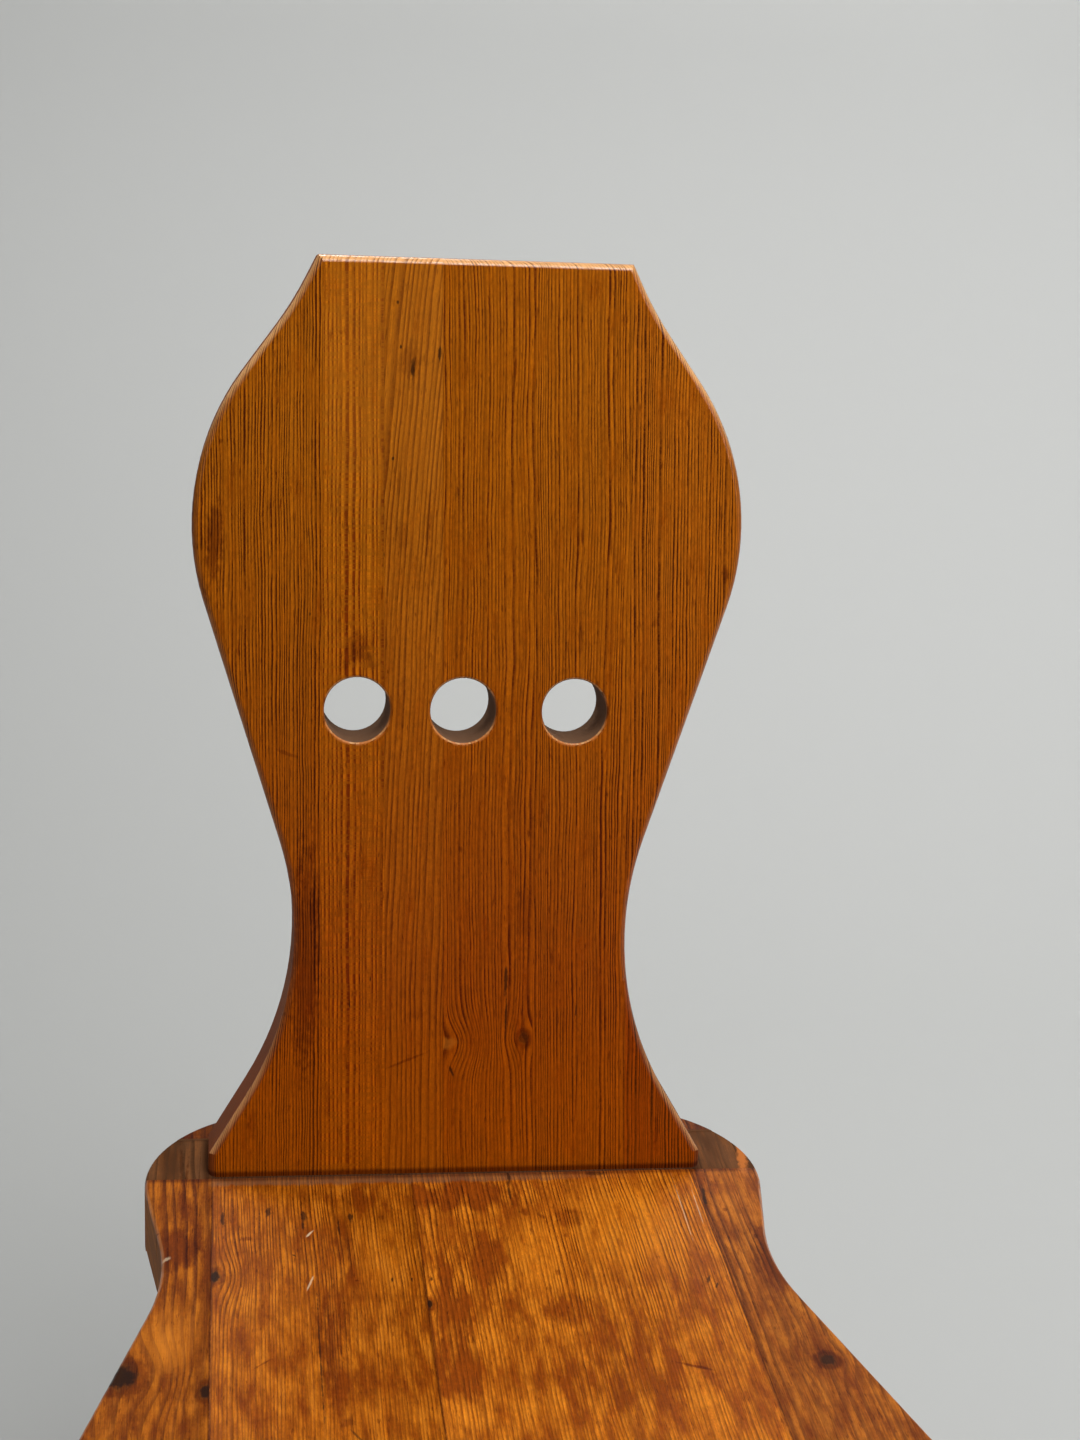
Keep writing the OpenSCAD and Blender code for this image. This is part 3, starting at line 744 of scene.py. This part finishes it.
for name, look in staves.items():
    stave_number = int(name[len("back_stave_")])
    pine = Pine(name + "_pine", foot_of_back, back_turn, seed=1.0 + len(name) + 3.7 * stave_number,
                slant=look["slant"], bow=look.get("bow", 0.0))
    tree = pine.tree
    height = pine.part("Y")
    for knot_here in look.get("knots", ()):
        pine.knot(*knot_here)
    for mark_here in look["marks"]:
        pine.mark(*mark_here)
    pine.wood(**look["wood"], stain=(0.72, 0.58, 0.46), wear=0.38, spread=0.2)
    # Painted shade: the back grows darker and redder towards its foot.
    pine.shade(step(tree, height, *painted_shade_heights), redder_painted_shade)
    for joint in look["joints"]:
        pine.seam(*back_joints[joint], width=0.45, strength=0.3 if joint < 3 else 0.2)
    # Painted light: a faint red light brightens the lowest part of the foot again.
    pine.shade(step(tree, height, *foot_painted_light_heights), red_painted_light, "SCREEN")
    # The top edge's pale colour is partly wear and partly a painted highlight.
    pine.edges(pale=(244, 186, 124), share=0.8, side_share=0.04, dusty=(112, 64, 28))
    # The rounded edges near the foot are darker and rougher.
    on_the_edge = step(tree, pine.facing(2), 0.99, 0.9)
    darker_foot_edge = pine.times(on_the_edge, step(tree, height, *foot_edge_darkens, after=0.7))
    pine.shade(darker_foot_edge, foot_edge_colour)
    pine.bare = work(tree, "MAXIMUM", pine.bare, darker_foot_edge)
    for hole in look.get("holes", ()):
        bore(pine, hole)
    # Painted shadow: a dark contact line where the back meets the seat.
    pine.shade(step(tree, height, *contact_shadow_heights), contact_shadow_colour)
    made = pine.finish(roughness=0.28, shine=0.15, relief=0.12, waves=0.5)
    smooth_copy(name, made, trim_foot(look["trim"]) if "trim" in look else None)


# Seat
# Four boards of pine glued edge to edge, waisted like the back and hollowed a little
# where the sitter sits. Long use has worn it to bright orange between darker streaks,
# and the shallow trough that the back stands in is bare and brown.
seat_joints = (-133, -25.5, 131.5)
trough_front = -4
trough_floor = -1.2
russet = paint(104, 40, 6)
grime = paint(112, 78, 54)
chalk = paint(232, 208, 170)
bare_pine = paint(186, 106, 46)
trough_brown = paint(104, 74, 48)
contact_shade = (0.45, 0.36, 0.32, 1)
worn_line_shade = (0.5, 0.45, 0.4, 1)
haze_wander = 12.0
# Where each change across, along or into the boards starts and where it is full.
smoother_to_front = (-70, -190)
haze_front = (-7.5, -4.5)
haze_fades_right = (20, 110)
haze_starts_left = (-137, -130)
touches_back = (trough_front - 5.0, trough_front - 1.0)
trough_edge = (trough_front - 0.5, trough_front)
below_the_face = (trough_floor + 0.8, trough_floor + 0.4)
above_the_rest = (trough_floor - 0.8, trough_floor - 0.4)
trough_under_foot = (140, 136)
rings_worn_flat = (0.55, 0.35)

# A zone is its x and y, half its width and length, and how much more worn it is.
boards = {
    "seat_board_1": dict(
        shine=0.03, joints=(0,), knots=((-174.5, -184, 10, 12, 2.2), (-136, -197.7, 3.6, 7, 2.4)),
        wood=dict(heart=(-250, -60), ring=4.6, light=(155, 83, 12), dark=(84, 34, 8), begin=0.4, wander=18),
        zones=((-150, -75, 16, 22, -0.2), (-152, -150, 16, 30, 0.16)),
        marks=(
            (-152, -165, 10, 24, 0, amber, 0.22), (-148, -25, 1.0, 50, 2, umber, 0.6),
            (-141, -40, 0.6, 70, 1, umber, 0.5), (-162, -58, 3, 1, 20, umber),
            (-156, -84, 1.5, 3, 40, chalk, 0.35), (-150, 12, 1.2, 24, -2, umber, 0.55),
        ),
    ),
    "seat_board_2": dict(
        shine=0.08, joints=(0, 1), knots=((-131, -101, 3.4, 6.5, 3.6),),
        wood=dict(heart=(-330, -60), ring=1.9, light=(187, 103, 14), dark=(82, 31, 2), begin=0.3, wander=7),
        zones=((-44, -85, 15, 36, 0.12), (-60, -28, 16, 11, -0.1), (-64, -82, 5, 26, -0.14),
               (-72, -165, 9, 46, -0.1), (-105, -130, 26, 30, 0.04), (-110, -25, 20, 12, 0.06)),
        marks=(
            (-103.5, -40, 1.6, 5), (-85, -45, 1.8, 6), (-85.5, -54, 1.0, 6), (-127.5, -47, 1.1, 8),
            (-60.5, -47, 1.5, 5.5), (-67, -57, 0.8, 8), (-115.5, -66, 4, 2.6, 0, umber, 0.75),
            (-91, -83, 0.9, 1.8, -35), (-42, -105, 0.6, 2), (-32, -105, 0.6, 2),
            (-60, -106, 1.5, 0.8, 0, umber), (-82, -62, 0.75, 4.2, 32, chalk, 0.6),
            (-83.4, -108, 0.6, 8, 17, chalk, 0.5),
            (-80.6, -168, 0.6, 56, 0, soot, 0.75), (-75, -165, 5, 52, 0, umber, 0.3),
            (-70, -219, 3.5, 5, 25, umber, 0.7), (-66, -229, 0.8, 7, -30, soot, 0.6),
            (-108, -175, 0.8, 7, 45, umber, 0.7), (-120, -135, 0.8, 5, 0, umber, 0.6),
        ),
    ),
    "seat_board_3": dict(
        shine=0.14, joints=(1, 2), knots=((-24.5, -125, 1.9, 4.2, 2.6),),
        wood=dict(heart=(-170, -60), ring=2.15, light=(212, 120, 22), dark=(84, 30, 0), begin=0.3, wander=9),
        zones=((2, -26, 30, 20, -0.22), (85, -60, 38, 46, 0.16), (8, -88, 14, 30, -0.1),
               (35, -85, 16, 36, 0.14), (58, -52, 12, 10, -0.14), (-14, -150, 12, 80, -0.16),
               (60, -190, 40, 30, -0.08), (45, -135, 16, 14, -0.11)),
        marks=(
            (28.6, -9, 1.1, 7.5), (27, -26, 0.7, 13), (33, -46, 2.6, 4, 0, umber, 0.6),
            (57, -46, 4, 2.2, 0, umber, 0.45), (61, -59, 2, 2, 0, umber, 0.45),
            (42, -51, 1.5, 2.5, 0, umber, 0.6), (50, -55, 2, 1.5, 0, umber, 0.4),
            (52, -70, 2, 2, 0, umber, 0.4), (43, -103, 1.6, 3, 0, umber, 0.6),
            (77, -6.5, 7, 2.6, 0, soot, 0.55), (119, -48, 0.4, 34, 1, chalk, 0.35),
            (120, -48, 0.35, 34, 1, soot, 0.5), (127.6, -45, 0.4, 20, 1, chalk, 0.35),
            (119.5, -115, 1.1, 4, 20), (122.5, -121, 0.9, 3.5, 25), (-22, -105, 0.8, 2),
            (40, -137, 2, 2.4, 0, umber, 0.4), (99, -187, 1.2, 11, -60, umber, 0.9),
            (-23, -60, 1, 8, 0, umber, 0.5), (79, -78, 1.4, 5, 0, umber, 0.5),
            (70, -60, 0.6, 10, 2, umber, 0.4),
        ),
    ),
    "seat_board_4": dict(
        shine=0.11, joints=(2,),
        knots=((163.4, -188.3, 5.2, 5.4, 2.4, 0.85), (158, -40, 2, 30, 3.0, 0.0, 0.0)),
        wood=dict(heart=(290, -70), ring=4.2, light=(170, 94, 24), dark=(82, 34, 12), begin=0.4, wander=16),
        zones=((148, -25, 12, 26, 0.05), (158, -95, 10, 36, -0.24), (150, -140, 12, 20, 0.05)),
        marks=(
            (133.6, -32, 1.2, 12, 6), (153, -75, 1.0, 2.5, 0, umber), (142, -48, 1.6, 2, 0, umber, 0.6),
            (148, -134, 3, 4, 0, russet, 0.5), (164.5, 12, 3.2, 26, 9, bare_pine, 0.85),
        ),
    ),
}
for name, look in boards.items():
    board_number = int(name[len("seat_board_")])
    pine = Pine(name + "_pine", foot_of_back, (0, 0, 0), seed=40.0 + 2.9 * board_number)
    tree = pine.tree
    across, along, depth = (pine.part(axis) for axis in "XYZ")
    for knot_here in look["knots"]:
        pine.knot(*knot_here)
    for zone_here in look["zones"]:
        pine.zone(*zone_here)
    for mark_here in look["marks"]:
        pine.mark(*mark_here)
    ring_contrast = step(tree, along, *smoother_to_front, before=0.95, after=0.6)
    pine.wood(**look["wood"], stain=(0.42, 0.29, 0.25), wear=0.49, spread=0.18,
              contrast=ring_contrast, fade=0.65, glow=0.26)
    for joint in look["joints"]:
        pine.seam(seat_joints[joint], width=1.1, strength=0.9)
    wandering = work(tree, "MULTIPLY_ADD", pine.fibre["Patch"], haze_wander, along)
    haze = pine.times(step(tree, wandering, *haze_front),
                      step(tree, across, *haze_fades_right, before=0.6, after=0.0))
    haze = pine.times(haze, step(tree, across, *haze_starts_left))
    pine.shade(haze, grime, "MIX")
    pine.shade(step(tree, along, *touches_back, after=0.9), contact_shade)
    trough = pine.times(step(tree, depth, *below_the_face), step(tree, depth, *above_the_rest))
    trough = pine.times(trough, step(tree, along, *trough_edge))
    pine.shade(pine.times(trough, 0.6), trough_brown, "MIX")
    pine.bare = pine.times(trough, 0.9)
    worn_lines = work(tree, "MAXIMUM", pine.late, step(tree, pine.fibre["Cloud"], *rings_worn_flat))
    pine.shade(pine.times(trough, pine.times(worn_lines, 0.8)), worn_line_shade)
    near_foot = step(tree, work(tree, "ABSOLUTE", across), *trough_under_foot, after=0.8)
    pine.shade(pine.times(trough, near_foot), contact_shade)
    pine.edges(pale=(206, 130, 66), share=0.35, side_share=0.35, dusty=(170, 124, 88), end=0.15)
    smooth_copy(name, pine.finish(roughness=0.42, shine=look["shine"], relief=0.35))


# Battens
# Two bars of planed pine, slid into the underside of the seat on dovetails. The legs
# are set in them.
for seed, name in enumerate(("front_batten", "rear_batten")):
    middle_y = sum(corner[1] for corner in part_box(name)) / 2
    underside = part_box(name)[0][2]
    pine = Pine(name + "_pine", (0, middle_y, underside), (0, 0, math.pi / 2), seed=60.0 + seed)
    pine.wood(heart=(20, -70), ring=2.4, light=(176, 104, 44), dark=(112, 56, 18), wander=8)
    pine.edges(pale=(206, 136, 74), share=0.3, dust=0.2)
    smooth_copy(name, pine.finish(roughness=0.5, shine=0.3, relief=0.2))


# Legs
# Four eight-sided legs of pine, tapered towards the floor, splayed, and varnished like
# the back. Their round tenons go up through the battens.
front_rake, rear_rake, splay = 7.0, -10.0, 8.5
scuffs = (-165, -195)
scuffed_shade = (0.6, 0.5, 0.45, 1)
for end, rake in (("front", front_rake), ("rear", rear_rake)):
    for side, way in (("left", 1), ("right", -1)):
        name = f"leg_{end}_{side}"
        low, high = (Vector(corner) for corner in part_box(name))
        upwards = Vector((way * math.tan(math.radians(splay)), math.tan(math.radians(rake)), 1)).normalized()
        turn = upwards.to_track_quat("Y", "Z").to_euler()
        pine = Pine(name + "_pine", tuple((low + high) / 2), tuple(turn), seed=70.0 + rake + way)
        pine.wood(heart=(60, -80), ring=1.9, light=(178, 102, 22), dark=(112, 46, 4), wander=6)
        pine.edges(pale=(206, 136, 74), share=0.2, dust=0.0)
        scuffed = step(pine.tree, pine.part("Y"), *scuffs)
        pine.shade(pine.times(scuffed, 0.6), scuffed_shade)
        smooth_copy(name, pine.finish(roughness=0.34, shine=0.3, relief=0.15, waves=0.5))


# Wedges and keys
# Hardwood wedges spread the tenons of the legs, and two tapered keys through the
# tenons of the back lock it under the rear batten.
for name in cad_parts:
    if name.startswith(("wedge", "back_key")):
        turn = (math.pi / 2, 0, 0) if name.startswith("wedge") else (0, 0, 0)
        pine = Pine(name + "_wood", tuple(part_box(name)[0]), turn, seed=80.0 + len(name))
        pine.wood(heart=(90, -60), ring=0.9, light=(150, 98, 54), dark=(112, 68, 34), contrast=0.6)
        pine.edges(pale=(190, 140, 90), share=0.2, dust=0.2)
        smooth_copy(name, pine.finish(roughness=0.5, shine=0.3, relief=0.2))
